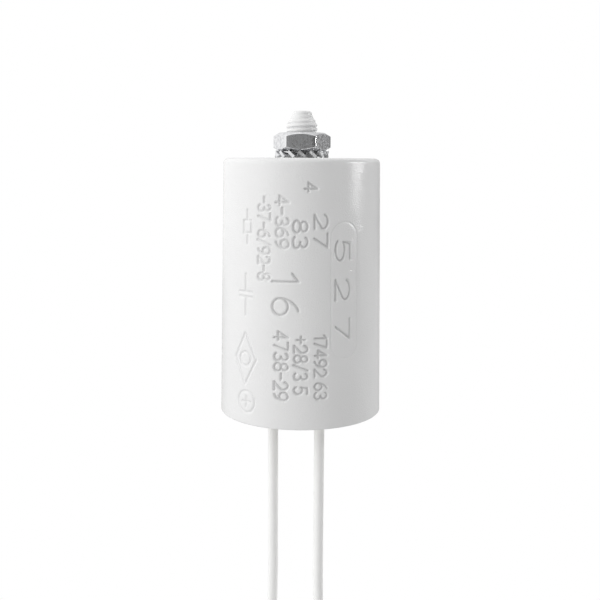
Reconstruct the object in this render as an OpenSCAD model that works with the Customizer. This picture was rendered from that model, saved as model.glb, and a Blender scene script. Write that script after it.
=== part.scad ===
// Motor run capacitor: a film winding potted in a moulded plastic cup, with a
// threaded stud on the closed end and two insulated leads out of the open end.
// Millimetres. The origin is the centre of the seat around the stud, +Z runs
// up the stud, the cup hangs below and the leads leave its open end downwards.

/* [Case] */
// Diameter of the cup at the stud end
case_top_d = 39.6; // [38:0.1:44]
// Diameter of the cup at the open end
case_base_d = 41.8; // [41:0.1:46]
// Height of the cup from the seat to the open rim
case_h = 65; // [60:1:90]
// Thickness of the side wall
case_wall = 1.6; // [1.2:0.1:2.4]
// Thickness of the closed end
case_floor = 2.6; // [2:0.1:4]
// Radius of the outer edge round the seat
seat_edge_r = 1.3; // [0.6:0.1:2]
// Radius of the inner edge of the closed end
floor_edge_r = 1.2; // [0.6:0.1:2]
// Radius of the two edges of the open rim
rim_edge_r = 0.3; // [0.1:0.05:0.5]

/* [Stud] */
// Outer diameter of the moulded thread
stud_d = 7.86; // [7.6:0.02:8]
// Height of the stud above the seat
stud_h = 11.7; // [10.6:0.1:16]
// Diameter of the plain pilot at the tip
pilot_d = 5.4; // [4.8:0.1:6]
// Height of the pilot
pilot_h = 1.4; // [0.8:0.1:2]
// Radius of the pilot's top edge
pilot_edge_r = 0.7; // [0.3:0.1:1]
// Height of the lead-in between the pilot and the full thread
lead_in_h = 1.9; // [1:0.1:2.2]
// Radius of the fillet at the stud's root
stud_root_r = 0.3; // [0.1:0.05:0.4]

/* [Nut] */
// Width across the flats of the nut
nut_af = 12.75; // [12:0.05:13]
// Height of the nut
nut_h = 4.6; // [4:0.05:5]
// Diameter that the nut's six corners are rounded to
nut_corner_d = 14.4; // [14.2:0.05:15]
// Diameter of the flat ring on each end, inside the chamfer
nut_face_d = 11.4; // [10.8:0.1:12.4]
// Angle of the end chamfers
nut_chamfer_angle = 31; // [20:1:35]
// Turn of the nut about the stud
nut_turn = -2.6; // [-30:0.1:30]
// Radial gap between the stud's crests and the nut's bore
thread_gap = 0.04; // [0.01:0.01:0.1]
// Depth of the countersink at each end of the nut's bore
nut_csk = 0.45; // [0.2:0.05:0.8]
// Clearance between the nut and the washer's teeth
nut_seat_gap = 0.02; // [0.01:0.01:0.1]

/* [Lock washer] */
// Bore of the lock washer
washer_bore_d = 8.6; // [8.5:0.05:9]
// Diameter of the washer's plain ring, where the teeth begin
washer_ring_d = 10.7; // [10.2:0.1:11.4]
// Diameter over the tips of the teeth
washer_d = 13.5; // [13:0.1:15]
// Thickness of the washer's sheet
washer_t = 0.75; // [0.6:0.05:1]
// Number of teeth
tooth_count = 15; // [12:1:15]
// Width of a tooth
tooth_w = 2.1; // [1.5:0.05:2.2]
// Twist of a tooth from its root to its tip
tooth_twist = 42; // [25:1:45]
// Turn of the washer about the stud
washer_turn = 0.5; // [-12:0.5:12]

/* [Winding] */
// Resin skin between the winding and the cup
winding_skin = 1.2; // [0.8:0.1:2]
// Space between the closed end and the winding
top_space = 3.4; // [3:0.1:5]
// Space between the winding and the face of the resin, for the joints
base_space = 10.2; // [9.5:0.1:14]
// Thickness of the sprayed zinc on each end
spray_t = 0.6; // [0.4:0.1:1]
// Thickness of the wrap round the winding
wrap_t = 0.3; // [0.2:0.1:0.6]
// Outer diameter of the core tube
core_d = 8; // [7:0.5:10]
// Bore of the core tube
core_bore_d = 5.6; // [4:0.2:6]

/* [Resin] */
// Depth of the resin's face below the rim
resin_recess = 2; // [1:0.1:4]

/* [Leads] */
// Distance between the two leads
lead_pitch = 12.3; // [11:0.1:14]
// Distance of the leads' middle from the cup's axis
lead_shift = -1.15; // [-2:0.05:2]
// Distance of each lead in front of or behind the axis
lead_stagger = 3; // [3:0.5:4]
// Outer diameter of the insulation
lead_d = 2.7; // [2.2:0.1:3]
// Diameter of the solid conductor
conductor_d = 1; // [0.8:0.1:1.4]
// Length of the stripped free ends
strip_l = 8; // [6:1:12]
// Length of the stripped inner ends below the winding
inner_strip_l = 4.2; // [4:0.1:5]

/* [Joints] */
// Diameter of the link wire through the core
link_d = 1.2; // [0.8:0.1:1.6]
// Radius of the link wire's bends
link_bend_r = 1.4; // [0.8:0.1:1.5]
// Distance from the axis to the link wire's upper end
link_reach = 9; // [7:0.5:12]
// Depth of the link wire's lower run below the winding
link_drop = 2.2; // [1.8:0.1:2.4]
// Diameter of the discharge resistor's body
resistor_d = 2.4; // [2:0.1:3]
// Length of the discharge resistor's body
resistor_l = 6.5; // [5:0.1:7]
// Distance of the resistor behind the axis
resistor_back = 8; // [7:0.5:9]
// Diameter of the resistor's wires
resistor_wire_d = 0.6; // [0.4:0.05:0.8]
// Depth of the resistor's wires below the winding
resistor_drop = 3.5; // [3.4:0.05:3.7]
// Depth of the resistor's waist below its end caps
resistor_waist = 0.15; // [0.05:0.05:0.3]
// Radius of the edges of its end caps
resistor_edge_r = 0.3; // [0.1:0.05:0.5]
// Length of the slope from a cap to the waist
resistor_slope = 0.4; // [0.2:0.1:0.6]
// Thickness of the solder round a stripped end
solder_wall = 0.8; // [0.5:0.05:1]
// Height of the solder's flare where it wets the zinc
flare_h = 1.3; // [0.8:0.1:1.6]
// How far the flare spreads
flare_w = 1; // [0.5:0.1:1.2]
// How far the right-hand stripped end stands above the link wire
strip_over = 0.4; // [0.2:0.1:0.6]
// Cover of solder over the right-hand joint
solder_over = 0.3; // [0.1:0.1:0.5]
// Radius of the upper joint's foot, on the zinc
foot_r = 2.4; // [2:0.1:3]
// Radius of the upper joint's top
foot_top_r = 1.3; // [1:0.1:1.6]
// Distance from the link wire's end to the middle of the upper joint
foot_back = 1.4; // [1:0.1:2]
// Cover of solder over the upper joint
foot_over = 0.5; // [0.3:0.1:0.8]

/* [Hidden] */

round_fn = 96;   // exact round faces; the number only has to be above 12
wire_fn = 32;
arc_steps = 8;   // flats along an edge radius
tooth_steps = 4; // slices along a twisted tooth
tube_sides = 8;
seat_steps = 8;  // places where the nut is set against the teeth
cut = 1;         // how far a cutter runs past the faces that it cuts

// Cup
function case_r(z) = case_top_d / 2 - (case_base_d - case_top_d) / 2 * z / case_h;
function cavity_r(z) = case_r(z) - case_wall;

// Height of a tooth at a distance from the axis: it twists evenly from its root to its tip
function tooth_h(r) =
    let (a = tooth_twist * max(r - tooth_root, 0) / (washer_r - tooth_root))
    tooth_w * sin(a) + washer_t * cos(a);

// Stud, washer and nut, upwards from the seat. The nut comes down until its chamfered
// end meets the teeth, which stand higher towards their tips.
stud_r = stud_d / 2;
pilot_z = stud_h - pilot_h;
thread_z = pilot_z - lead_in_h;
washer_r = washer_d / 2;
tooth_root = washer_ring_d / 2 - washer_t;
washer_h = tooth_h(washer_r);
nut_face_r = nut_face_d / 2;
nut_z = washer_h / 2 + max([
    for (i = [0:seat_steps])
        let (r = nut_face_r + (washer_r - nut_face_r) * i / seat_steps)
        tooth_h(r) / 2 - (r - nut_face_r) * tan(nut_chamfer_angle)
]) + nut_seat_gap;
nut_bore_r = stud_r + thread_gap;
nut_chamfer_h = (nut_corner_d / 2 - nut_face_r) * tan(nut_chamfer_angle);

// Winding stack, downwards from the seat
stack_top_z = -case_floor - top_space;
resin_face_z = -case_h + resin_recess;
stack_base_z = resin_face_z + base_space;
stack_r = cavity_r(stack_top_z) - winding_skin;
winding_r = stack_r - wrap_t;

// Joints under the winding
left_at = [lead_shift - lead_pitch / 2, lead_stagger];
right_at = [lead_shift + lead_pitch / 2, -lead_stagger];
lead_top_z = stack_base_z - inner_strip_l;
link_top_z = stack_top_z + link_d / 2;
link_base_z = stack_base_z - link_drop;
resistor_z = stack_base_z - resistor_drop;
right_strip_l = link_base_z + link_d / 2 + strip_over - lead_top_z;
resistor_mid = lead_shift;
solder_d = conductor_d + 2 * solder_wall;

// The leads' routes: how far each strays from its own line, and its height
left_sway = [
    [0, 0, -63], [0, 0, -69], [0, 0, -75], [0, 0, -81], [0, 0, -87], [0, 0, -93], [0, 0, -99],
    [0, 0, -105], [0, 0, -111], [-0.1, 0, -117], [-0.2, 0.1, -123], [-0.3, 0.2, -129],
    [-0.5, 0.3, -135], [-0.7, 0.4, -141], [-0.8, 0.5, -148], [-0.8, 0.5, -155]
];
right_sway = [
    [0, 0, -63], [0, 0, -69], [0, 0, -75], [0, 0, -81], [0, 0, -87], [0, 0, -93], [0, 0, -99],
    [0, 0, -105], [0, 0, -111], [0.1, 0, -117], [0.2, -0.1, -123], [0.4, -0.2, -129],
    [0.6, -0.3, -135], [0.8, -0.4, -141], [1, -0.5, -148], [1, -0.5, -155]
];
function route(at, sway) = concat(
    [[at[0], at[1], lead_top_z]],
    [for (p = sway) [at[0] + p[0], at[1] + p[1], p[2]]]
);
left_route = route(left_at, left_sway);
right_route = route(right_at, right_sway);

// Points on an arc about [x, y], from one angle to another
function arc(x, y, r, from, to) = [
    for (i = [0:arc_steps])
        let (a = from + (to - from) * i / arc_steps) [x + r * cos(a), y + r * sin(a)]
];

// Unit vector from a to b
function along(a, b) = (b - a) / norm(b - a);

// Sweeps a tube with flat sides along a route, square to the route at each point
module tube(points, d) {
    n = len(points);
    dirs = [for (i = [0:n - 1]) along(points[max(i - 1, 0)], points[min(i + 1, n - 1)])];
    rings = [
        for (i = [0:n - 1])
            let (
                side = along([0, 0, 0], cross([0, 1, 0], dirs[i])),
                front = cross(dirs[i], side)
            )
            for (k = [0:tube_sides - 1])
                let (a = 360 * k / tube_sides)
                points[i] + d / 2 * (cos(a) * side + sin(a) * front)
    ];
    last = (n - 1) * tube_sides;
    walls = [
        for (i = [0:n - 2], k = [0:tube_sides - 1])
            let (a = i * tube_sides + k, b = i * tube_sides + (k + 1) % tube_sides)
            [b, a, a + tube_sides, b + tube_sides]
    ];
    ends = [
        [for (k = [0:tube_sides - 1]) k],
        [for (k = [tube_sides - 1:-1:0]) last + k]
    ];
    polyhedron(points = rings, faces = concat(walls, ends));
}

// A straight round bar from point a to point b
module bar(a, b, d) {
    d1 = along(a, b);
    side = abs(d1[2]) > 0.5 ? [1, 0, 0] : [0, 0, 1];
    u = cross(side, d1);
    multmatrix([
        [side[0], u[0], d1[0], a[0]],
        [side[1], u[1], d1[1], a[1]],
        [side[2], u[2], d1[2], a[2]],
        [0, 0, 0, 1]
    ])
        cylinder(h = norm(b - a), d = d, $fn = wire_fn);
}

// A quarter bend at point c, from direction d1 to direction d2
module bend(c, d1, d2, d, r) {
    centre = c + r * (d2 - d1);
    w = cross(-d2, d1);
    multmatrix([
        [-d2[0], d1[0], w[0], centre[0]],
        [-d2[1], d1[1], w[1], centre[1]],
        [-d2[2], d1[2], w[2], centre[2]],
        [0, 0, 0, 1]
    ])
        rotate_extrude(angle = 90, $fn = wire_fn) translate([r, 0]) circle(d = d);
}

// A round wire through square corners, each bent to radius r
module wire(points, d, r) {
    n = len(points);
    for (i = [0:n - 2]) {
        way = along(points[i], points[i + 1]);
        first = i == 0 ? 0 : r;
        final = i == n - 2 ? 0 : r;
        bar(points[i] + first * way, points[i + 1] - final * way, d);
    }
    for (i = [1:1:n - 2])
        bend(points[i], along(points[i - 1], points[i]), along(points[i], points[i + 1]), d, r);
}

// Round tube standing between two heights
module pipe(r1, r2, z1, z2) {
    translate([0, 0, z1])
        difference() {
            cylinder(h = z2 - z1, r = r2, $fn = round_fn);
            translate([0, 0, -cut]) cylinder(h = z2 - z1 + 2 * cut, r = r1, $fn = round_fn);
        }
}

// Cup and stud in one moulding: the outline of half its section, spun
module case() {
    wall_r = case_r(-seat_edge_r);
    floor_r = cavity_r(-case_floor);
    rim_r = case_base_d / 2;
    half_section = concat(
        [[0, stud_h]],
        arc(pilot_d / 2 - pilot_edge_r, stud_h - pilot_edge_r, pilot_edge_r, 90, 0),
        [[pilot_d / 2, pilot_z], [stud_r, thread_z]],
        arc(stud_r + stud_root_r, stud_root_r, stud_root_r, 180, 270),
        arc(wall_r - seat_edge_r, -seat_edge_r, seat_edge_r, 90, 0),
        arc(rim_r - rim_edge_r, -case_h + rim_edge_r, rim_edge_r, 0, -90),
        arc(rim_r - case_wall + rim_edge_r, -case_h + rim_edge_r, rim_edge_r, -90, -180),
        arc(floor_r - floor_edge_r, -case_floor - floor_edge_r, floor_edge_r, 0, 90),
        [[0, -case_floor]]
    );
    color("white")
        rotate_extrude($fn = round_fn) polygon(half_section);
}

// Hexagon nut with chamfered ends and slightly rounded corners
module hex_nut() {
    corner_r = nut_corner_d / 2;
    mouth_r = nut_bore_r + nut_csk + cut;
    blank = [
        [0, 0], [nut_face_r, 0], [corner_r, nut_chamfer_h],
        [corner_r, nut_h - nut_chamfer_h], [nut_face_r, nut_h], [0, nut_h]
    ];
    bore = [
        [0, -cut], [mouth_r, -cut], [nut_bore_r, nut_csk],
        [nut_bore_r, nut_h - nut_csk], [mouth_r, nut_h + cut], [0, nut_h + cut]
    ];
    color("silver")
        translate([0, 0, nut_z]) rotate([0, 0, nut_turn])
        difference() {
            intersection() {
                cylinder(h = nut_h, d = nut_af / cos(30), $fn = 6);
                rotate_extrude($fn = round_fn) polygon(blank);
            }
            rotate_extrude($fn = round_fn) polygon(bore);
        }
}

// One tooth: a strip of the sheet, twisted about the line out from the stud
module washer_tooth() {
    translate([tooth_root, 0, 0]) rotate([0, 90, 0])
        linear_extrude(height = washer_r - tooth_root, twist = tooth_twist, slices = tooth_steps)
        square([washer_t, tooth_w], center = true);
}

// Serrated lock washer: a plain ring with twisted teeth all round
module lock_washer() {
    color("gray")
        translate([0, 0, washer_h / 2]) rotate([0, 0, washer_turn])
        union() {
            pipe(washer_bore_d / 2, washer_ring_d / 2, -washer_t / 2, washer_t / 2);
            for (i = [0:tooth_count - 1])
                rotate([0, 0, -90 + i * 360 / tooth_count]) washer_tooth();
        }
}

// Wound film, between the core tube and the wrap
module film_winding() {
    color("gainsboro")
        pipe(core_d / 2, winding_r, stack_base_z + spray_t, stack_top_z - spray_t);
}

module core_tube() {
    color("ivory")
        pipe(core_bore_d / 2, core_d / 2, stack_base_z, stack_top_z);
}

module winding_wrap() {
    color("khaki")
        pipe(winding_r, stack_r, stack_base_z, stack_top_z);
}

// Zinc sprayed on an end of the winding, which joins all its turns
module zinc_spray(z) {
    color("darkgray")
        pipe(core_d / 2, winding_r, z, z + spray_t);
}

module link_wire_shape() {
    wire([
        [link_reach, 0, link_top_z], [0, 0, link_top_z], [0, 0, link_base_z],
        [0, right_at[1], link_base_z], [right_at[0] - conductor_d / 2, right_at[1], link_base_z]
    ], link_d, link_bend_r);
}

// Wire from the winding's upper end down its core to the right-hand lead
module link_wire() {
    color("peru") link_wire_shape();
}

// Stripped inner end of a lead, standing on its insulation
module inner_end(at, l) {
    color("peru")
        translate([at[0], at[1], lead_top_z]) cylinder(h = l, d = conductor_d, $fn = wire_fn);
}

module resistor_wire(at, side) {
    body_end = resistor_mid + side * resistor_l / 2;
    wire([
        [body_end, resistor_back, resistor_z], [at[0], resistor_back, resistor_z],
        [at[0], at[1] + conductor_d / 2, resistor_z]
    ], resistor_wire_d, resistor_wire_d);
}

module resistor_wires() {
    color("silver") {
        resistor_wire(left_at, -1);
        resistor_wire(right_at, 1);
    }
}

// Resistor that drains the charge when the supply is off: a body with domed caps
module discharge_resistor() {
    cap_r = resistor_d / 2;
    waist_r = cap_r - resistor_waist;
    cap_l = resistor_l / 4;
    profile = concat(
        [[0, 0]],
        arc(cap_r - resistor_edge_r, resistor_edge_r, resistor_edge_r, -90, 0),
        [[cap_r, cap_l], [waist_r, cap_l + resistor_slope]],
        [[waist_r, resistor_l - cap_l - resistor_slope], [cap_r, resistor_l - cap_l]],
        arc(cap_r - resistor_edge_r, resistor_l - resistor_edge_r, resistor_edge_r, 0, 90),
        [[0, resistor_l]]
    );
    color("tan")
        translate([resistor_mid - resistor_l / 2, resistor_back, resistor_z]) rotate([0, 90, 0])
        rotate_extrude($fn = wire_fn) polygon(profile);
}

// Solder that holds the link wire on the upper zinc
module solder_upper() {
    color("lightsteelblue")
        difference() {
            translate([link_reach - foot_back, 0, stack_top_z])
                cylinder(h = link_d + foot_over, r1 = foot_r, r2 = foot_top_r, $fn = wire_fn);
            link_wire_shape();
        }
}

// Solder round a stripped inner end, flared where it wets the zinc
module solder_left() {
    color("lightsteelblue")
        difference() {
            translate([left_at[0], left_at[1], lead_top_z])
                union() {
                    cylinder(h = inner_strip_l, d = solder_d, $fn = wire_fn);
                    translate([0, 0, inner_strip_l - flare_h])
                        cylinder(h = flare_h, d1 = solder_d, d2 = solder_d + 2 * flare_w, $fn = wire_fn);
                }
            inner_end(left_at, inner_strip_l);
            resistor_wire(left_at, -1);
        }
}

module solder_right() {
    color("lightsteelblue")
        difference() {
            translate([right_at[0], right_at[1], lead_top_z])
                cylinder(h = right_strip_l + solder_over, d = solder_d, $fn = wire_fn);
            inner_end(right_at, right_strip_l);
            link_wire_shape();
            resistor_wire(right_at, 1);
        }
}

// Resin that fills the cup round everything inside it
module potting_resin() {
    top_r = cavity_r(-case_floor);
    fill = concat(
        [[0, -case_floor]],
        arc(top_r - floor_edge_r, -case_floor - floor_edge_r, floor_edge_r, 90, 0),
        [[cavity_r(resin_face_z), resin_face_z], [0, resin_face_z]]
    );
    color("dimgray")
        difference() {
            rotate_extrude($fn = round_fn) polygon(fill);
            pipe(core_bore_d / 2, stack_r, stack_base_z, stack_top_z);
            link_wire_shape();
            solder_upper();
            solder_left();
            solder_right();
            inner_end(left_at, inner_strip_l);
            inner_end(right_at, right_strip_l);
            discharge_resistor();
            resistor_wires();
            for (at = [left_at, right_at])
                translate([at[0], at[1], resin_face_z - cut])
                    cylinder(h = lead_top_z - resin_face_z + cut, d = lead_d, $fn = wire_fn);
        }
}

// Insulation of a lead, from its joint in the resin to its free end
module lead(points) {
    color("whitesmoke") tube(points, lead_d);
}

// Stripped free end of a lead, in line with its last stretch
module free_end(points) {
    last = points[len(points) - 1];
    color("silver")
        translate(last - [0, 0, strip_l]) cylinder(h = strip_l, d = conductor_d, $fn = wire_fn);
}

case();
hex_nut();
lock_washer();
potting_resin();
film_winding();
core_tube();
winding_wrap();
zinc_spray(stack_top_z - spray_t);  // zinc_spray_upper
zinc_spray(stack_base_z);  // zinc_spray_lower
link_wire();
solder_upper();
solder_left();
solder_right();
discharge_resistor();
resistor_wires();
inner_end(left_at, inner_strip_l);  // inner_end_left
inner_end(right_at, right_strip_l);  // inner_end_right
lead(left_route);  // lead_left
lead(right_route);  // lead_right
free_end(left_route);  // conductor_left
free_end(right_route);  // conductor_right
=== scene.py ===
import math

import bmesh
import bpy
import numpy as np
from mathutils import Matrix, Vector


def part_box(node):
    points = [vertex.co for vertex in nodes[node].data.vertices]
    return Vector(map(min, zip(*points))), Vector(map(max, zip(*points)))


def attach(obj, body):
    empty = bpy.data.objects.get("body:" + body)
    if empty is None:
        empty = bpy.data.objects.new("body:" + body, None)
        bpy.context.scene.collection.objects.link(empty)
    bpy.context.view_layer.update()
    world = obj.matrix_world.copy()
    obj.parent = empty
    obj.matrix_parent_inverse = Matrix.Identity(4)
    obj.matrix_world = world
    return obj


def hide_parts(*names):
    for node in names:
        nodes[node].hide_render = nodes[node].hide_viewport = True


# Motor run capacitor, in metres. The origin is the centre of the seat round the stud, +Z runs up the
# stud, the cup hangs below it, and the leads leave the open end downwards. The marks, cup, nut,
# washer and resin are worked out in millimetres, and turned into metres as their pieces are made.
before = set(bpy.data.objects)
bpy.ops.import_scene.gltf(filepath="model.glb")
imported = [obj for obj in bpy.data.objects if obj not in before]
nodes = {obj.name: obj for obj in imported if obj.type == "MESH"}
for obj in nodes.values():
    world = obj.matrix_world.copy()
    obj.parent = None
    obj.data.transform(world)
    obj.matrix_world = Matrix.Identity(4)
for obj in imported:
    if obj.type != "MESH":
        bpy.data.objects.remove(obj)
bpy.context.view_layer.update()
scene = bpy.context.scene
mm = 0.001

print("camera")
view = {
    "left": 0.24 * mm,    # of the stud's axis
    "back": 219.5 * mm,   # in front of it
    "up": -1.5 * mm,      # from the seat, so just below it
    "lens": 51.24,        # millimetres, on a 36 mm sensor
    "pitch": 9.03,        # degrees down
    "roll": 0.32,         # degrees anticlockwise about the line of sight
}


def addCamera():
    lens = bpy.data.cameras.new("camera")
    lens.lens = view["lens"]
    lens.clip_start = 0.01
    camera = bpy.data.objects.new("camera", lens)
    scene.collection.objects.link(camera)
    turn = Matrix.Rotation(math.radians(90 - view["pitch"]), 4, "X")
    roll = Matrix.Rotation(math.radians(view["roll"]), 4, "Z")
    camera.matrix_world = Matrix.Translation((-view["left"], -view["back"], view["up"])) @ turn @ roll
    scene.camera = camera


addCamera()
scene.view_settings.view_transform = "Standard"


# One value in a node tree, so that shader maths reads as maths
class Socket:
    def __init__(self, graph, link):
        self.graph = graph
        self.link = link

    def __add__(self, other):
        return self.graph.math("ADD", self, other)

    def __radd__(self, other):
        return self.graph.math("ADD", other, self)

    def __sub__(self, other):
        return self.graph.math("SUBTRACT", self, other)

    def __rsub__(self, other):
        return self.graph.math("SUBTRACT", other, self)

    def __mul__(self, other):
        return self.graph.math("MULTIPLY", self, other)

    def __rmul__(self, other):
        return self.graph.math("MULTIPLY", other, self)

    def clamp(self):
        return self.graph.math("MINIMUM", self.graph.math("MAXIMUM", self, 0.0), 1.0)


# A node tree, and the one way to add a node to it
class Graph:
    def __init__(self, tree):
        self.tree = tree

    def add(self, kind, settings=None, values=None, output=0):
        node = self.tree.nodes.new("ShaderNode" + kind)
        for name, value in (settings or {}).items():
            setattr(node, name, value)
        for name, value in (values or {}).items():
            self.put(node.inputs[name], value)
        return Socket(self, node.outputs[output])

    def put(self, socket, value):
        if isinstance(value, Socket):
            self.tree.links.new(value.link, socket)
        else:
            socket.default_value = value

    def math(self, operation, *values):
        return self.add("Math", {"operation": operation}, dict(enumerate(values)))

    def dot(self, first, second):
        return self.add("VectorMath", {"operation": "DOT_PRODUCT"}, {0: first, 1: second}, output=1)

    # 0 below the low value, 1 above the high one, and a straight line or a soft S between them
    def between(self, value, low, high, shape="LINEAR"):
        span = {"Value": value, "From Min": low, "From Max": high}
        return self.add("MapRange", {"interpolation_type": shape}, span)

    # Object coordinates, which are metres from the middle of the seat
    def place(self):
        return self.add("TexCoord", output=3)

    # Distance from the stud's axis: the length of the place with its height taken out
    def fromAxis(self):
        level = self.add("VectorMath", {"operation": "MULTIPLY"}, {0: self.place(), 1: (1, 1, 0)})
        return self.add("VectorMath", {"operation": "LENGTH"}, {0: level}, output=1)

    # Two colours mixed by a factor
    def blend(self, factor, first, second):
        sockets = {0: factor, 6: first, 7: second}
        return self.add("Mix", {"data_type": "RGBA"}, sockets, output=2)

    # Noise at object coordinates: features per millimetre, then the octaves of detail and their share
    def noise(self, perMm, detail=2.0, rough=0.5, stretch=(1, 1, 1)):
        scaled = self.add("Mapping", {"vector_type": "POINT"}, {"Vector": self.place(), "Scale": stretch})
        values = {"Vector": scaled, "Scale": perMm / mm, "Detail": detail, "Roughness": rough}
        return self.add("TexNoise", None, values)


# A finish: its shader's fixed values are set here, and what varies is put on it afterwards
class Finish(Graph):
    def __init__(self, name, slotName, fixed):
        self.material = bpy.data.materials.new(name)
        self.material.use_nodes = True
        super().__init__(self.material.node_tree)
        self.slotName = slotName
        self.shader = self.tree.nodes["Principled BSDF"]
        for socket, value in fixed.items():
            self.put(self.shader.inputs[socket], value)

    def vary(self, socket, value):
        self.put(self.shader.inputs[socket], value)

    def bump(self, height, depthMm):
        raised = self.add("Bump", None, {"Height": height, "Strength": 1.0, "Distance": depthMm * mm})
        self.vary("Normal", raised)


def grey(level):
    return (level, level, level, 1.0)


print("studio")
studio = {
    "floorDrop": 0.30,            # floor below the seat
    "floorSize": 4.0,
    "floorTone": 0.60,
    "ambient": 0.93,              # what the room gives a diffuse surface, on average
    "lean": 0.92,                 # how much more comes from its bright side than from its dim side
    "brightSide": (-0.8, 0.0, -0.25),
    "dimGlow": 0.02,              # what a mirror that faces the dim side of the room sees
    "paleGlow": 1.0,              # what it sees on the pale side
    "paleSide": (-0.84, 0.22, 0.5),
    "paleFrom": -0.25,            # how far towards the pale side the glow begins, and is full
    "paleFull": 0.6,
    "wallGlow": 0.17,             # a fainter light wall
    "wallSide": (0.85, 0.45, 0.27),
    "wallFrom": 0.3,
    "wallFull": 0.9,
}


# The camera sees white all round. Diffuse light comes from the whole room and leans to one side,
# and what is mirrored is dim, with a broad pale side and a faint wall.
def addWorld():
    world = bpy.data.worlds.new("studio")
    world.use_nodes = True
    scene.world = world
    graph = Graph(world.node_tree)
    toCamera = graph.add("LightPath", output="Is Camera Ray")
    through = graph.add("LightPath", output="Is Transmission Ray")
    gloss = graph.add("LightPath", output="Is Glossy Ray")
    way = graph.add("TexCoord", output=0)
    towardsPale = graph.dot(way, studio["paleSide"])
    pale = graph.between(towardsPale, studio["paleFrom"], studio["paleFull"])
    towardsWall = graph.dot(way, studio["wallSide"])
    wall = graph.between(towardsWall, studio["wallFrom"], studio["wallFull"], "SMOOTHSTEP")
    rise = studio["paleGlow"] - studio["dimGlow"]
    mirrored = studio["dimGlow"] + pale * rise + wall * studio["wallGlow"]
    soft = studio["ambient"] * (1.0 + graph.dot(way, studio["brightSide"]) * studio["lean"])
    room = gloss * mirrored + (1.0 - gloss) * soft
    white = graph.math("MAXIMUM", toCamera, through)
    background = world.node_tree.nodes["Background"]
    graph.put(background.inputs["Color"], grey(1.0))
    graph.put(background.inputs["Strength"], white + (1.0 - white) * room)


# A card that gives its tone to the light and shows as plain white
def addFloor():
    half = studio["floorSize"] / 2
    drop = -studio["floorDrop"]
    corners = [(-half, -half, drop), (half, -half, drop), (half, half, drop), (-half, half, drop)]
    mesh = bpy.data.meshes.new("floor")
    mesh.from_pydata(corners, [], [(0, 1, 2, 3)])
    floor = bpy.data.objects.new("floor", mesh)
    scene.collection.objects.link(floor)
    finish = Finish("floor_card", "", {"Base Color": grey(studio["floorTone"]), "Roughness": 0.8})
    seen = finish.add("LightPath", output="Is Camera Ray")
    glow = finish.add("Emission", None, {"Color": grey(1.0), "Strength": 1.0})
    card = Socket(finish, finish.shader.outputs[0])
    shown = finish.add("MixShader", None, {0: seen, 1: card, 2: glow})
    finish.put(finish.tree.nodes["Material Output"].inputs["Surface"], shown)
    mesh.materials.append(finish.material)


# An area light at an azimuth from the front (to the right), an elevation and a distance, facing a
# height on the axis, and what it is for: diffuse light, reflections, or both
lamps = {
    "key": {"azimuth": -65, "elevation": 10, "away": 0.60, "at": -0.04,
            "wide": 0.40, "tall": 0.50, "watts": 0.60, "for": ["diffuse"]},
    "rim": {"azimuth": 118, "elevation": 18, "away": 0.60, "at": 0.02,
            "wide": 0.30, "tall": 0.50, "watts": 2.05, "for": ["diffuse"]},
    "top": {"azimuth": 20, "elevation": 80, "away": 0.60, "at": 0.0,
            "wide": 0.40, "tall": 0.40, "watts": 0.15, "for": ["diffuse", "glossy"]},
    "card": {"azimuth": 56, "elevation": 6, "away": 0.60, "at": 0.0,
             "wide": 0.30, "tall": 0.35, "watts": 0.20, "for": ["glossy"]},
    "strip": {"azimuth": 86, "elevation": 10.5, "away": 0.55, "at": 0.0,
              "wide": 0.055, "tall": 0.16, "watts": 1.12, "for": ["glossy"]},
}


def addLamp(name):
    facts = lamps[name]
    light = bpy.data.lights.new(name, "AREA")
    light.shape = "RECTANGLE"
    light.size = facts["wide"]
    light.size_y = facts["tall"]
    light.energy = facts["watts"]
    lamp = bpy.data.objects.new(name, light)
    lamp.visible_glossy = "glossy" in facts["for"]
    lamp.visible_diffuse = "diffuse" in facts["for"]
    scene.collection.objects.link(lamp)
    turn = Matrix.Rotation(math.radians(facts["azimuth"]), 4, "Z")
    tilt = Matrix.Rotation(math.radians(90 - facts["elevation"]), 4, "X")
    back = Matrix.Translation((0, 0, facts["away"]))
    lamp.matrix_world = Matrix.Translation((0, 0, facts["at"])) @ turn @ tilt @ back


addWorld()
addFloor()
for name in lamps:
    addLamp(name)


# Quads between neighbouring rows and columns; a closed grid's last column meets its first
def gridFaces(rows, columns, closed=True):
    row = np.arange(rows - 1)[:, None]
    column = np.arange(columns if closed else columns - 1)[None, :]
    after = (column + 1) % columns
    here, below = row * columns, (row + 1) * columns
    corners = [here + column, here + after, below + after, below + column]
    return np.stack(corners, axis=-1).reshape(-1, 4)


# Triangles between two lines of vertices that run side by side but have different counts. Both
# lines' places are merged in order, and each step forward on one line closes a triangle.
def zipFaces(first, firstAt, second, secondAt, closed=False):
    if closed:
        first, firstAt = np.append(first, first[0]), np.append(firstAt, firstAt[0] + 2 * np.pi)
        second, secondAt = np.append(second, second[0]), np.append(secondAt, secondAt[0] + 2 * np.pi)
    middle = [(at[1:] + at[:-1]) / 2 for at in (firstAt, secondAt)]
    side = np.concatenate([np.zeros(len(middle[0]), int), np.ones(len(middle[1]), int)])
    order = np.argsort(np.concatenate(middle), kind="stable")
    side = side[order]
    onFirst = np.concatenate([[0], np.cumsum(side == 0)])
    onSecond = np.concatenate([[0], np.cumsum(side == 1)])
    third = np.where(side == 0, first[onFirst[1:]], second[onSecond[1:]])
    return np.stack([first[onFirst[:-1]], second[onSecond[:-1]], third], axis=-1)


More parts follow.
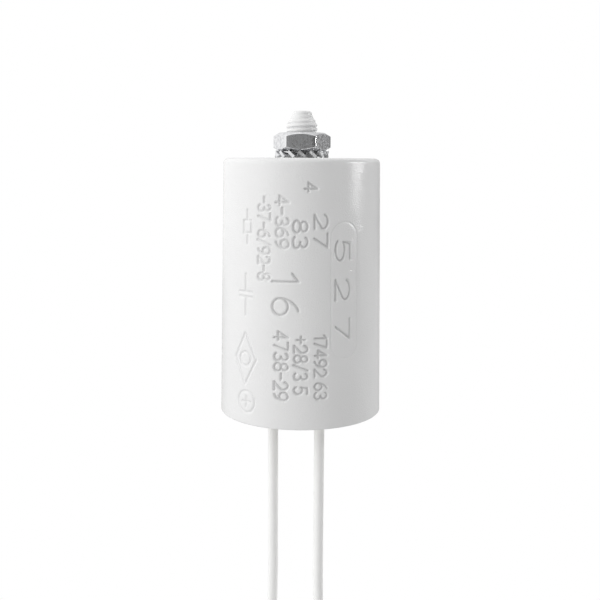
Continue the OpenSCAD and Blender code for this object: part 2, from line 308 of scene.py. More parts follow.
# Puts vertices and faces into a new object that rides on the body, with its faces outwards: where
# the volume between the faces and the origin sums to less than nothing, every face is turned round
def addPiece(name, points, quads, triangles, finish, smoothBelow=35.0, stands=(), weld=False, values=None):
    triangles = np.zeros((0, 3), int) if triangles is None else triangles
    parts = [quads[:, [0, 1, 2]], quads[:, [0, 2, 3]], triangles]
    first, second, third = points[np.concatenate(parts)].transpose(1, 0, 2)
    volume = np.einsum("ij,ij->i", first, np.cross(second, third)).sum() / 6
    if volume < 0:
        quads, triangles = quads[:, ::-1], triangles[:, ::-1]
    loops = np.concatenate([quads.ravel(), triangles.ravel()])
    quadStarts = np.arange(len(quads)) * 4
    starts = np.concatenate([quadStarts, len(quads) * 4 + np.arange(len(triangles)) * 3])
    mesh = bpy.data.meshes.new(name)
    mesh.vertices.add(len(points))
    mesh.vertices.foreach_set("co", points.astype(np.float32).ravel())
    mesh.loops.add(len(loops))
    mesh.loops.foreach_set("vertex_index", loops.astype(np.int32))
    mesh.polygons.add(len(starts))
    mesh.polygons.foreach_set("loop_start", starts.astype(np.int32))
    mesh.update(calc_edges=True)
    mesh.validate()
    for attribute, numbers in (values or {}).items():
        layer = mesh.attributes.new(attribute, "FLOAT", "POINT")
        layer.data.foreach_set("value", numbers.astype(np.float32))
    if weld:
        joined = bmesh.new()
        joined.from_mesh(mesh)
        bmesh.ops.remove_doubles(joined, verts=joined.verts, dist=0.001 * mm)
        joined.to_mesh(mesh)
        joined.free()
    mesh.shade_smooth()
    mesh.set_sharp_from_angle(angle=math.radians(smoothBelow))
    mesh.materials.append(finish.material)
    piece = bpy.data.objects.new(name, mesh)
    scene.collection.objects.link(piece)
    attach(piece, "root")
    if stands:
        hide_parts(*stands)
    return piece


print("leads")
lead = {
    "diameter": 2.7 * mm,
    "conductor": 1.0 * mm,
    "strip": 8.0 * mm,       # bare end
    "hidden": 2.0 * mm,      # of the bare end, inside the insulation
    "edge": 0.18 * mm,       # radius round the cut end of the insulation
    "wireEdge": 0.1 * mm,    # and round the tip of the wire
    "ringGap": 1.0 * mm,     # between the rings of the insulation
    "sides": 40,
    "wireSides": 20,
}
# Each lead's points, in millimetres, from inside the resin down to the cut end of its insulation,
# the same as its solid follows
routes = {
    "left": [
        (-7.3, 3.0, -57), (-7.3, 3.0, -63), (-7.3, 3.0, -69), (-7.3, 3.0, -75), (-7.3, 3.0, -81),
        (-7.3, 3.0, -87), (-7.3, 3.0, -93), (-7.3, 3.0, -99), (-7.3, 3.0, -105), (-7.3, 3.0, -111),
        (-7.4, 3.0, -117), (-7.5, 3.1, -123), (-7.6, 3.2, -129), (-7.8, 3.3, -135),
        (-8.0, 3.4, -141), (-8.1, 3.5, -148), (-8.1, 3.5, -155),
    ],
    "right": [
        (5.0, -3.0, -57), (5.0, -3.0, -63), (5.0, -3.0, -69), (5.0, -3.0, -75), (5.0, -3.0, -81),
        (5.0, -3.0, -87), (5.0, -3.0, -93), (5.0, -3.0, -99), (5.0, -3.0, -105), (5.0, -3.0, -111),
        (5.1, -3.0, -117), (5.2, -3.1, -123), (5.4, -3.2, -129), (5.6, -3.3, -135),
        (5.8, -3.4, -141), (6.0, -3.5, -148), (6.0, -3.5, -155),
    ],
}


# A tube along a line of points: each ring lies level with its centre, because the leads run almost
# straight down, and its radius follows the second list. Both ends close on their own centre.
def tubeGrid(centres, radii, sides):
    turn = np.linspace(0, 2 * np.pi, sides, endpoint=False)
    ring = np.stack([np.cos(turn), np.sin(turn), np.zeros(sides)], axis=-1)
    points = centres[:, None, :] + radii[:, None, None] * ring[None, :, :]
    quads = gridFaces(len(centres), sides)
    poles = len(centres) * sides + np.arange(2)
    around = np.arange(sides)
    after = (around + 1) % sides
    last = (len(centres) - 1) * sides
    top = np.stack([after, around, np.full(sides, poles[0])], axis=-1)
    end = np.stack([around + last, after + last, np.full(sides, poles[1])], axis=-1)
    points = np.concatenate([points.reshape(-1, 3), centres[[0, -1]]])
    return points, quads, np.concatenate([top, end])


# Heights down a tube, closer together where an edge radius rounds its lower end off: the radius
# shrinks by the edge minus the circle's height at that depth
def roundedEnd(heights, radius, edge, steps=5):
    turn = np.linspace(0, np.pi / 2, steps)
    ends = heights[-1] + edge * (1 - np.sin(turn))
    shrink = edge * (1 - np.cos(turn))
    levels = np.concatenate([heights[:-1], ends])
    radii = np.concatenate([np.full(len(heights) - 1, radius), radius - shrink])
    return levels, radii


# The insulation follows its route, and the bare end goes on straight down from its last point
def addLead(side, insulation, wire):
    route = np.array(routes[side]) * mm
    start, end = route[0, 2], route[-1, 2]
    heights = np.append(np.arange(start, end, -lead["ringGap"]), end)
    levels, radii = roundedEnd(heights, lead["diameter"] / 2, lead["edge"])
    x, y = (np.interp(-levels, -route[:, 2], route[:, axis]) for axis in (0, 1))
    points, quads, caps = tubeGrid(np.stack([x, y, levels], axis=-1), radii, lead["sides"])
    tube = addPiece("lead_" + side + "_insulation", points, quads, caps, insulation, stands=["lead_" + side])
    heights = np.array([end + lead["hidden"], end, end - lead["strip"]])
    levels, radii = roundedEnd(heights, lead["conductor"] / 2, lead["wireEdge"])
    centres = np.repeat(route[-1:], len(levels), 0)
    centres[:, 2] = levels
    points, quads, caps = tubeGrid(centres, radii, lead["wireSides"])
    core = addPiece("conductor_" + side + "_end", points, quads, caps, wire, stands=["conductor_" + side])


# White PVC, drawn lengthwise, so that its faint lines run along the lead
def leadFinish():
    finish = Finish("lead_pvc", "lead_insulation", {})
    haze = finish.noise(0.25, detail=3.0)
    finish.vary("Base Color", finish.blend(haze, (0.90, 0.90, 0.89, 1), (0.94, 0.94, 0.93, 1)))
    drawn = finish.noise(2.0, detail=4.0, stretch=(1, 1, 0.08))
    finish.vary("Roughness", 0.34 + drawn * 0.12)
    finish.bump(drawn, 0.02)
    return finish


# Tinned copper wire, with the same lines, finer
def tinnedFinish():
    finish = Finish("tinned_copper", "tinned_wire", {"Base Color": (0.78, 0.78, 0.76, 1), "Metallic": 1.0})
    drawn = finish.noise(3.0, detail=4.0, stretch=(1, 1, 0.05))
    finish.vary("Roughness", 0.22 + drawn * 0.2)
    finish.bump(drawn, 0.01)
    return finish


pvc = leadFinish()
tinned = tinnedFinish()
for side in routes:
    addLead(side, pvc, tinned)


print("marks")
# Plain numbers and plain signs sunk into the cup's side. A number is drawn with single strokes in a
# cell one unit high, from lines and from arcs (centre, radii, first and last angle in degrees).
strokes = {
    "0": [("arc", 0.33, 0.5, 0.33, 0.5, 0, 360)],
    "1": [("line", 0.1, 0.76, 0.38, 1, 0.38, 0)],
    "2": [("arc", 0.33, 0.69, 0.33, 0.31, 165, -35), ("line", 0.6, 0.512, 0, 0, 0.68, 0)],
    "3": [("arc", 0.31, 0.75, 0.28, 0.25, 150, -90), ("arc", 0.31, 0.25, 0.33, 0.25, 90, -150)],
    "4": [("line", 0.5, 0, 0.5, 1, 0, 0.28, 0.7, 0.28)],
    "5": [("line", 0.62, 1, 0.1, 1, 0.05, 0.52), ("arc", 0.31, 0.31, 0.34, 0.31, 139, -150)],
    "6": [("arc", 0.33, 0.3, 0.33, 0.3, 0, 360), ("arc", 0.6, 0.3, 0.6, 0.7, 180, 100)],
    "7": [("line", 0, 1, 0.66, 1, 0.24, 0)],
    "8": [("arc", 0.33, 0.76, 0.27, 0.24, 0, 360), ("arc", 0.33, 0.26, 0.33, 0.26, 0, 360)],
    "9": [("arc", 0.33, 0.7, 0.33, 0.3, 0, 360), ("arc", 0.06, 0.7, 0.6, 0.7, 0, -80)],
    "-": [("line", 0, 0.5, 0.5, 0.5)],
    "+": [("line", 0, 0.5, 0.6, 0.5), ("line", 0.3, 0.2, 0.3, 0.8)],
    "/": [("line", 0, -0.05, 0.5, 1.05)],
    " ": [],
}
# Plain signs in millimetres about their own middle: along the cup, then round it
signs = {
    "bar": [("line", -1.5, -1.2, 1.5, -1.2, 1.5, 1.2, -1.5, 1.2, -1.5, -1.2),
            ("line", -4.0, 0, -1.5, 0), ("line", 1.5, 0, 4.0, 0)],
    "plates": [("line", -0.6, -2.1, -0.6, 2.1), ("line", 0.6, -2.1, 0.6, 2.1),
               ("line", -5.0, 0, -0.6, 0), ("line", 0.6, 0, 5.0, 0)],
    "diamond": [("line", -6.4, 0, 0, 3.5, 6.4, 0, 0, -3.5, -6.4, 0), ("arc", 0, 0, 1.7, 1.7, 0, 360)],
    "ring": [("arc", 0, 0, 2.7, 2.7, 0, 360), ("line", -1.3, 0, 1.3, 0), ("line", 0, -1.3, 0, 1.3)],
}
# Where each mark lies: its middle's angle from the front, its depth below the seat from top to end,
# its height round the cup, without the stroke's own width, and how deep it is cut
marks = [
    {"text": "4", "angle": 6.6, "from": 5.7, "to": 7.7, "tall": 3.0},
    {"text": "27", "angle": 13.6, "from": 13.1, "to": 20.7, "tall": 3.2},
    {"text": "83", "angle": -0.6, "from": 14.5, "to": 20.9, "tall": 3.4},
    {"text": "4-369", "angle": -12.8, "from": 8.8, "to": 21.0, "tall": 3.1, "cut": 0.8},
    {"text": "-37-6/92-8", "angle": -26.0, "from": 9.1, "to": 28.8, "tall": 3.2, "cut": 0.75},
    {"text": "1", "angle": -10.6, "from": 27.0, "to": 28.9, "tall": 6.5},
    {"text": "6", "angle": -10.5, "from": 32.9, "to": 36.9, "tall": 6.5},
    {"text": "17492 63", "angle": 13.7, "from": 41.8, "to": 57.4, "tall": 3.0},
    {"text": "+28/3 5", "angle": 0.2, "from": 42.0, "to": 56.0, "tall": 3.2},
    {"text": "4738-29", "angle": -13.2, "from": 40.9, "to": 57.7, "tall": 3.4},
    {"text": "5 2 7", "angle": 29.7, "from": 19.4, "to": 43.0, "tall": 4.0},
    {"sign": "bar", "angle": -39.9, "at": 16.3, "cut": 0.5},
    {"sign": "plates", "angle": -41.1, "at": 32.6, "cut": 0.5},
    {"sign": "diamond", "angle": -41.2, "at": 48.5, "cut": 0.5},
    {"sign": "ring", "angle": -40.0, "at": 59.2, "cut": 0.5},
]
engraving = {
    "reach": 0.41,    # from a stroke's centre line to its edge
    "depth": 0.45,
    "floor": 0.25,    # share of the reach that is flat at the bottom
    "gap": 0.22,      # between two numbers, as a share of their height
    "space": 0.2,     # and the width of a space
    "margin": 0.5,    # how far beyond a mark's lines its grooves are worked out
    "insertAngle": 30.9,   # a plain oval insert of the mould has left a faint line
    "insertFrom": 14.9,
    "insertTo": 47.8,
    "insertWide": 7.3,
    "insertReach": 0.26,
    "insertDepth": 0.1,
}


# The points of one stroke: a line's corners, or an arc in steps of about 12 degrees
def strokePoints(stroke):
    if stroke[0] == "line":
        return np.array(stroke[1:]).reshape(-1, 2)
    x, y, across, up, start, stop = stroke[1:]
    turn = np.radians(np.linspace(start, stop, 2 + int(abs(stop - start) / 12)))
    return np.stack([x + across * np.cos(turn), y + up * np.sin(turn)], axis=-1)


# All strokes of a mark, in millimetres: first how far below the seat, then how far round the cup
# from the mark's middle. Numbers run downwards with their tops to the right.
def markStrokes(mark):
    if "sign" in mark:
        return [strokePoints(s) + (mark["at"], 0) for s in signs[mark["sign"]]]
    lines, across = [], 0.0
    for letter in mark["text"]:
        found = [strokePoints(s) + (across, 0) for s in strokes[letter]]
        lines += found
        across = max([line[:, 0].max() for line in found], default=across + engraving["space"])
        across += engraving["gap"]
    left = min(line[:, 0].min() for line in lines)
    right = max(line[:, 0].max() for line in lines)
    along = (mark["to"] - mark["from"]) / (right - left)
    return [np.stack([mark["from"] + (line[:, 0] - left) * along, (line[:, 1] - 0.5) * mark["tall"]], axis=-1)
            for line in lines]


# Distance from every point to a stroke: to the nearest of its straight pieces, each by the foot of
# the perpendicular, kept between the piece's two ends
def strokeDistance(points, line):
    start, way = line[:-1], line[1:] - line[:-1]
    offset = points[:, None, :] - start[None]
    along = np.clip((offset * way).sum(-1) / np.maximum((way * way).sum(-1), 1e-9), 0, 1)
    return np.sqrt(((offset - along[..., None] * way) ** 2).sum(-1)).min(1)


def smooth(low, high, value):
    share = np.clip((value - low) / (high - low), 0, 1)
    return share * share * (3 - 2 * share)


# How deep the side is sunk, in millimetres, at angles and depths below the seat: a stroke is a
# groove with a flat bottom and smooth sides, and the insert's line is the same, but shallow
def sunk(angle, below, radius):
    result = np.zeros(angle.shape)
    margin = engraving["margin"]
    for mark in marks:
        lines = markStrokes(mark)
        low = min(line[:, 0].min() for line in lines) - margin
        high = max(line[:, 0].max() for line in lines) + margin
        wide = max(np.abs(line[:, 1]).max() for line in lines) + margin
        aside = np.radians(angle - mark["angle"]) * radius
        near = (below > low) & (below < high) & (np.abs(aside) < wide)
        points = np.stack([below[near], aside[near]], axis=-1)
        distance = np.min([strokeDistance(points, line) for line in lines], axis=0)
        groove = 1 - smooth(engraving["floor"], 1, distance / engraving["reach"])
        result[near] = np.maximum(result[near], groove * engraving["depth"] * mark.get("cut", 1))
    half = (engraving["insertTo"] - engraving["insertFrom"]) / 2
    wide = engraving["insertWide"] / 2
    along = np.abs(below - (engraving["insertFrom"] + half))
    aside = np.radians(angle - engraving["insertAngle"]) * radius
    edge = np.abs(np.hypot(np.maximum(along - (half - wide), 0), aside) - wide)
    line = 1 - smooth(0, 1, edge / engraving["insertReach"])
    return np.maximum(result, line * engraving["insertDepth"])


print("cup")
cup = {
    "seatRadius": 19.8,    # of the taper's line, at the seat
    "edge": 1.3,           # radius round the seat
    "wall": 1.6,
    "floor": 2.6,
    "rimEdge": 0.3,
    "floorEdge": 1.2,
    "cell": 0.165,         # of the fine grid over the marks
    "fineFrom": -52.5,     # the angles and depths below the seat that it spans
    "fineTo": 42.0,
    "fineTop": 4.8,
    "fineEnd": 62.9,
    "topRows": 9,          # rows above the fine grid, and below it
    "endRows": 4,
    "coarse": 4.5,         # degrees between the other columns
    "sparse": 7,           # the other columns keep one row in so many
    "inner": 96,           # columns of the inner wall and of the stud
    "innerRows": 6,        # rows of the inner wall, this far inside its rounded edges
    "innerInset": 1.0,
    "pitFloor": 0.2,       # share of a sink mark's radius that is flat
}
# Small sink marks: angle, depth below the seat, radius, depth
pits = [
    (-16.5, 4.9, 0.35, 0.06), (-13.6, 7.2, 0.3, 0.05), (-6.4, 4.0, 0.25, 0.05), (-1.6, 4.6, 0.35, 0.07),
    (-21.8, 5.4, 0.3, 0.05), (-23.0, 4.2, 0.25, 0.05), (18.0, 34.0, 0.3, 0.04), (-33.5, 30.2, 0.3, 0.05),
]
stud = {
    "pitch": 1.13,
    "depth": 0.3,
    "flank": 0.9,          # how steep the flanks are
    "crestAt": 6.92,       # height of one crest, at the front
    "start": 0.7,          # the thread runs out between these heights above the seat
    "full": 1.5,
    "fade": 11.2,          # and fades from the lead-in's foot to here
    "crest": 3.93,
    "tipHeights": [0.0, 8.3, 8.75, 9.4, 10.1, 10.8],   # the lead-in narrows in steps to the tip
    "tipRadii": [3.93, 3.93, 3.78, 3.38, 2.92, 2.55],
    "tipEdge": 0.85,       # radius round the tip
    "rootEdge": 0.3,       # fillet into the seat
    "row": 0.095,          # height of a row of the thread
}
caseLow, caseHigh = [np.array(corner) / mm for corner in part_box("case")]
cupHigh = -caseLow[2]
rimRadius = caseHigh[0]


# A cone: the radius grows evenly from the seat to the rim
def cupRadius(below):
    return cup["seatRadius"] + (rimRadius - cup["seatRadius"]) * below / cupHigh


# A moulded thread: the height less the angle's share of the pitch gives the phase, a flattened
# cosine of it the ridge. Its crests follow the stud's outline, and it fades out at both ends.
def studRadius(angle, height):
    phase = (height - stud["crestAt"]) / stud["pitch"] - angle / 360
    ridge = 0.5 + 0.5 * np.tanh(stud["flank"] * np.cos(2 * np.pi * phase)) / np.tanh(stud["flank"])
    begun = smooth(stud["start"], stud["full"], height)
    ended = smooth(stud["tipHeights"][1], stud["fade"], height)
    strength = begun * (1 - ended)
    outline = np.interp(height, stud["tipHeights"], stud["tipRadii"])
    return outline - stud["depth"] * (1 - ridge) * strength


# A quarter circle about a point of the section, as radii and heights, between two angles
def quarter(out, up, radius, start, stop, steps=7):
    turn = np.radians(np.linspace(start, stop, steps))
    return out + radius * np.cos(turn), up + radius * np.sin(turn)


# A block turned about the axis: a radius and a height for each row and column, at the columns'
# angles from the front
def ringBlock(angles, radii, heights):
    turn = np.radians(angles)[None, :]
    radii, heights = np.broadcast_arrays(radii, heights)
    return np.stack([radii * np.sin(turn), -radii * np.cos(turn), heights + 0 * turn], axis=-1)


# A piece built in blocks along its outline. Blocks with different counts of columns or rows are
# joined by strips of triangles, between two open lines or two closed rings.
class Blocks:
    def __init__(self):
        self.points, self.quads, self.triangles, self.count = [], [], [], 0

    def add(self, block, closed=True):
        rows, columns = block.shape[:2]
        index = self.count + np.arange(rows * columns).reshape(rows, columns)
        self.quads.append(index[0, 0] + gridFaces(rows, columns, closed))
        self.points.append(block.reshape(-1, 3))
        self.count += rows * columns
        return index

    def pole(self, height, loop, above):
        centre = np.full(len(loop), self.count)
        self.points.append(np.array([[0.0, 0.0, height]]))
        self.count += 1
        after = np.roll(loop, -1)
        self.triangles.append(np.stack([centre, after, loop] if above else [loop, after, centre], axis=-1))

    def strip(self, first, firstAt, second, secondAt):
        self.triangles.append(zipFaces(first, firstAt, second, secondAt))

    def collar(self, first, firstAngles, second, secondAngles):
        firstAt, secondAt = np.radians(firstAngles), np.radians(secondAngles)
        self.triangles.append(zipFaces(first, firstAt, second, secondAt, closed=True))

    # All the blocks as one piece: its points in metres, its quads and its triangles
    def together(self):
        triangles = np.concatenate(self.triangles) if self.triangles else None
        return np.concatenate(self.points) * mm, np.concatenate(self.quads), triangles


# The stud: its rounded tip, the lead-in and the thread row by row, and the fillet into the seat
def studBlock(angles):
    tip, root, level = stud["tipEdge"], stud["rootEdge"], np.ones(len(angles))
    tipRadii, tipHeights = quarter(stud["tipRadii"][-1] - tip, caseHigh[2] - tip, tip, 90, 0)
    heights = np.arange(tipHeights[-1] - stud["row"], root, -stud["row"])
    rootRadii, rootHeights = quarter(stud["crest"] + root, root, root, 180, 270, 5)
    threadRadii = studRadius(angles[None, :], heights[:, None])
    radii = np.concatenate([np.outer(tipRadii, level), threadRadii, np.outer(rootRadii, level)])
    return ringBlock(angles, radii, np.concatenate([tipHeights, heights, rootHeights])[:, None])


# The rounded edge round the seat, without the side's first row
def shoulderBlock(angles):
    edge = cup["edge"]
    radii, heights = quarter(cupRadius(edge) - edge, -edge, edge, 90, 0, 9)
    return ringBlock(angles, radii[:-1, None], heights[:-1, None])


# How deep the side lies below its cone, in millimetres: the marks, and the small sink marks
def sideDepth(angles, below):
    radius = cupRadius(below)[:, None]
    depth = sunk(*np.broadcast_arrays(angles[None, :], below[:, None], radius))
    for angle, low, wide, deep in pits:
        away = np.hypot(np.radians(angles[None, :] - angle) * radius, below[:, None] - low)
        depth = np.maximum(depth, deep * (1 - smooth(cup["pitFloor"], 1, away / wide)))
    return depth


# The rim, rounded on both sides
def rimBlock(angles):
    rim = cup["rimEdge"]
    outRadii, outHeights = quarter(rimRadius - rim, -cupHigh + rim, rim, 0, -90, 5)
    inRadii, inHeights = quarter(rimRadius - cup["wall"] + rim, -cupHigh + rim, rim, -90, -180, 5)
    radii = np.concatenate([outRadii[1:], inRadii])
    heights = np.concatenate([outHeights[1:], inHeights])
    return ringBlock(angles, radii[:, None], heights[:, None])


# The inner wall, and its bend into the inner floor
def innerBlock(angles):
    bend, inset = cup["floorEdge"], cup["innerInset"]
    floorRadius = cupRadius(cup["floor"]) - cup["wall"]
    bendRadii, bendHeights = quarter(floorRadius - bend, -cup["floor"] - bend, bend, 0, 90)
    below = np.linspace(cupHigh - inset, cup["floor"] + bend + inset, cup["innerRows"])
    radii = np.concatenate([cupRadius(below) - cup["wall"], bendRadii])
    return ringBlock(angles, radii[:, None], np.concatenate([-below, bendHeights])[:, None])


# The blocks run from the stud's tip to the middle of the inner floor. The side is a fine grid over
# the marks, and a coarse one round the back.
def addCup(finish):
    even = np.linspace(-180, 180, cup["inner"], endpoint=False) + cup["fineFrom"] + 180
    fineCount = int(np.radians(cup["fineTo"] - cup["fineFrom"]) * rimRadius / cup["cell"])
    fine = np.linspace(cup["fineFrom"], cup["fineTo"], fineCount)
    backSteps = int((360 - cup["fineTo"] + cup["fineFrom"]) / cup["coarse"])
    back = np.linspace(cup["fineTo"], cup["fineFrom"] + 360, backSteps + 1)[1:-1]
    around = np.concatenate([fine, back])
    below = np.concatenate([
        np.linspace(cup["edge"], cup["fineTop"], cup["topRows"])[:-1],
        np.arange(cup["fineTop"], cup["fineEnd"], cup["cell"]),
        np.linspace(cup["fineEnd"], cupHigh - cup["rimEdge"], cup["endRows"]),
    ])
    kept = np.unique(np.append(np.arange(0, len(below), cup["sparse"]), len(below) - 1))
    radius = cupRadius(below)[:, None]
    depth = sideDepth(fine, below)
    blocks = Blocks()
    tip = blocks.add(studBlock(even))
    blocks.pole(caseHigh[2], tip[0], True)
    shoulder = blocks.add(shoulderBlock(around))
    blocks.collar(shoulder[0], around, tip[-1], even)
    front = blocks.add(ringBlock(fine, radius - depth, -below[:, None]), closed=False)
    rear = blocks.add(ringBlock(back, radius[kept], -below[kept, None]), closed=False)
    blocks.strip(front[:, -1], below, rear[:, 0], below[kept])
    blocks.strip(rear[:, -1], below[kept], front[:, 0], below)
    blocks.collar(np.concatenate([front[0], rear[0]]), around, shoulder[-1], around)
    rim = blocks.add(rimBlock(around))
    blocks.collar(rim[0], around, np.concatenate([front[-1], rear[-1]]), around)
    inner = blocks.add(innerBlock(even))
    blocks.collar(inner[0], even, rim[-1], around)
    blocks.pole(-cup["floor"], inner[-1], False)
    points, quads, triangles = blocks.together()
    marked = np.zeros(len(points))
    marked[front] = depth / engraving["depth"]
    addPiece("cup_and_stud", points, quads, triangles, finish, smoothBelow=50.0,
             stands=["case"], values={"marked": marked})
    print("cup triangles", 2 * len(quads) + len(triangles))


# The cup's finish
skin = {
    "dim": (0.80, 0.80, 0.80, 1),      # the two tones of its faint clouds
    "bright": (0.84, 0.84, 0.84, 1),
    # painted shade in the marks' grooves: its colour, its share at a mark's bottom, and how closely it keeps
    # there
    "markShade": (0.45, 0.45, 0.45, 1),
    "markShadeShare": 0.5,                  # at the bottom of a mark
    "markShadePower": 3.0,                  # how closely it keeps to the bottom
    "roughness": 0.19,                 # where it is least rubbed
    "rubbed": 0.08,                    # and what rubbing adds
    "wavesPerMm": 3.4,
    "waveMm": 0.047,                   # height of the waves
    "studShare": 0.12,                 # of that height is left from this high above the seat
    "studFrom": 1.0 * mm,
}


# White moulded plastic: a glossy skin with fine waves and faint clouding, and painted shade at the bottom of
# the marks
def casePlastic():
    finish = Finish("moulded_plastic", "case_plastic", {"IOR": 1.57})
    clean = finish.blend(finish.noise(0.09, detail=3.0), skin["dim"], skin["bright"])
    marked = finish.add("Attribute", {"attribute_name": "marked"}, output=2).clamp()
    # The grooves of the marks get painted shade, darker the deeper they are cut
    markShading = finish.math("POWER", marked, skin["markShadePower"]) * skin["markShadeShare"]
    finish.vary("Base Color", finish.blend(markShading, clean, skin["markShade"]))
    rub = finish.noise(0.6, detail=4.0)
    finish.vary("Roughness", skin["roughness"] + rub * skin["rubbed"])
    # The waves die out above the seat, where the stud is smoother
    waves = finish.noise(skin["wavesPerMm"], detail=0.0)
    height = finish.add("SeparateXYZ", None, {"Vector": finish.place()}, output=2)
    onStud = finish.between(height, 0.0, skin["studFrom"])
    finish.bump(waves * (1.0 - onStud * (1.0 - skin["studShare"])), skin["waveMm"])
    return finish


addCup(casePlastic())


print("nut")
nut = {
    "flats": 12.7,
    "cornerEdge": 0.45,  # radius of the upright corners
    "face": 11.4,        # flat ring inside the chamfer
    "chamfer": 31.0,     # degrees
    "bore": 7.94,
    "countersink": 0.45,
    "turn": -2.8,        # degrees about the stud
    "perFlat": 11,       # columns inside a flat
    "flatShare": 0.97,   # of the flat, which they spread over
    "cornerSteps": 7,
    "edge": 0.12,        # width of the softened edges
    "rubAndHighlightFrom": 6.95,     # distances from the axis between which the corners are rubbed smooth and have a painted highlight
    "rubAndHighlightFull": 7.15,
}


def soften(piece, width, above):
    bevel = piece.modifiers.new("soft_edges", "BEVEL")
    bevel.width = width * mm
    bevel.segments = 2
    bevel.limit_method = "ANGLE"
    bevel.angle_limit = math.radians(above)
    bevel.harden_normals = True


# A sixth of the hexagon is one flat, then a circle of the corner's radius that turns 60 degrees into
# the next flat. Each end slopes back from its flat ring by the chamfer's tangent.
def addNut(finish):
    low, high = [corner.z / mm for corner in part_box("hex_nut")]
    across, edge, face = nut["flats"] / 2, nut["cornerEdge"], nut["face"] / 2
    half = (across - edge) * math.tan(math.radians(30))
    bend = np.radians(np.linspace(0, 60, nut["cornerSteps"])[1:-1])
    inside = half * np.linspace(-nut["flatShare"], nut["flatShare"], nut["perFlat"])
    aside = np.concatenate([[-half], inside, [half], half + edge * np.sin(bend)])
    out = np.concatenate([np.full(nut["perFlat"] + 2, across), across - edge + edge * np.cos(bend)])
    turns = (np.degrees(np.arctan2(aside, out))[None, :] + 60 * np.arange(6)[:, None]).ravel()
    outer = np.tile(np.hypot(aside, out), 6)
    drop = (outer - face) * math.tan(math.radians(nut["chamfer"]))
    bore, sink = nut["bore"] / 2, nut["countersink"]
    # the section from the bore over the upper face to the flat, the same below, and the bore again
    level = np.ones(len(turns))
    radii = np.stack([bore * level, (bore + sink) * level, face * level, outer])
    upper = np.stack([(high - sink) * level, high * level, high * level, high - drop])
    lower = np.stack([low + drop, low * level, low * level, (low + sink) * level])
    radii, heights = np.concatenate([radii, radii[::-1]]), np.concatenate([upper, lower])
    points = ringBlock(turns + nut["turn"], radii, heights)
    quads = gridFaces(9, len(turns)) % (8 * len(turns))
    piece = addPiece("hexagon_nut", points.reshape(-1, 3) * mm, quads, None, finish, smoothBelow=30.0,
                     stands=["hex_nut"])
    soften(piece, nut["edge"], above=14)


print("lock washer")
washer = {
    "bore": 8.6,
    "ring": 10.7,
    "tip": 13.5,
    "sheet": 0.75,
    "toothWide": 2.1,
    "twist": 42.0,       # degrees at the tip
    "twistFrom": 4.6,    # distance from the axis at which the twist begins
    "teeth": 15,
    # degrees that each tooth's end looks up, from the front tooth round to the right
    "lean": [-4, 6, -20, 3, -2, 1, -3, 4, 0, -5, 2, -1, 3, 2, 1],
    "turn": 0.5,         # degrees about the stud
    "edge": 0.09,        # width of the softened edges
    "ringRows": 6,
    "toothRows": 8,
    "toothColumns": 5,
}


washerMiddle = sum(corner.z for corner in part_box("lock_washer")) / mm / 2


# A tooth is a strip of the sheet that turns about the line out from the stud, evenly with its
# distance from the axis. A point of the strip is given by its offset along the width and the
# thickness, turned by that angle; in the ring the strip narrows with the radius.
def toothPoints(out, offset, side, sectors, lean=0.0):
    ring, tip, thick = washer["ring"] / 2, washer["tip"] / 2, washer["sheet"] / 2
    share = np.clip((out - washer["twistFrom"]) / (tip - washer["twistFrom"]), 0, 1)
    turned = np.radians(washer["twist"]) * share
    across = offset * np.cos(turned) + side * thick * np.sin(turned)
    up = -offset * np.sin(turned) + side * thick * np.cos(turned)
    turn = np.radians(sectors)
    out = out - up * np.tan(np.radians(lean)) * np.clip((out - ring) / (tip - ring), 0, 1)
    x = out * np.sin(turn) + across * np.cos(turn)
    y = -out * np.cos(turn) + across * np.sin(turn)
    return np.stack([x, y, up + washerMiddle + 0 * x], axis=-1)


# The plain ring's upper face (1) and lower face (-1): each tooth's columns, then one in the gap
def ringFaces(offsets, sectors):
    bore, ring = washer["bore"] / 2, washer["ring"] / 2
    radii = np.linspace(bore, ring, washer["ringRows"])[:, None, None]
    toothOffsets = offsets[None, None, :] * np.minimum(1, radii / ring)
    out = np.sqrt(radii ** 2 - toothOffsets ** 2) + 0 * sectors[None, :, None]
    gapTurn = np.radians(sectors[None, :, None] + 180 / washer["teeth"])
    faces = {}
    for side in (1, -1):
        strips = toothPoints(out, toothOffsets + 0 * out, side, sectors[None, :, None] + 0 * out)
        level = washerMiddle + side * washer["sheet"] / 2 + 0 * radii * gapTurn
        gap = np.stack([radii * np.sin(gapTurn), -radii * np.cos(gapTurn), level], axis=-1)
        faces[side] = np.concatenate([strips, gap], axis=2).reshape(washer["ringRows"], -1, 3)
    return faces


# One tooth from the ring to its tip: its two faces, its end and its two sides
def addTooth(blocks, offsets, turn, lean):
    ring, tip = washer["ring"] / 2, washer["tip"] / 2
    share = np.linspace(0, 1, washer["toothRows"])[:, None]
    out = (1 - share) * np.sqrt(ring ** 2 - offsets[None, :] ** 2) + share * tip
    top, bottom = (toothPoints(out, offsets + 0 * out, side, turn, lean) for side in (1, -1))
    blocks.add(top, closed=False)
    blocks.add(bottom[::-1], closed=False)
    blocks.add(np.stack([top[-1], bottom[-1]]), closed=False)
    blocks.add(np.stack([top[:, -1], bottom[:, -1]], axis=1), closed=False)
    blocks.add(np.stack([bottom[:, 0], top[:, 0]], axis=1), closed=False)


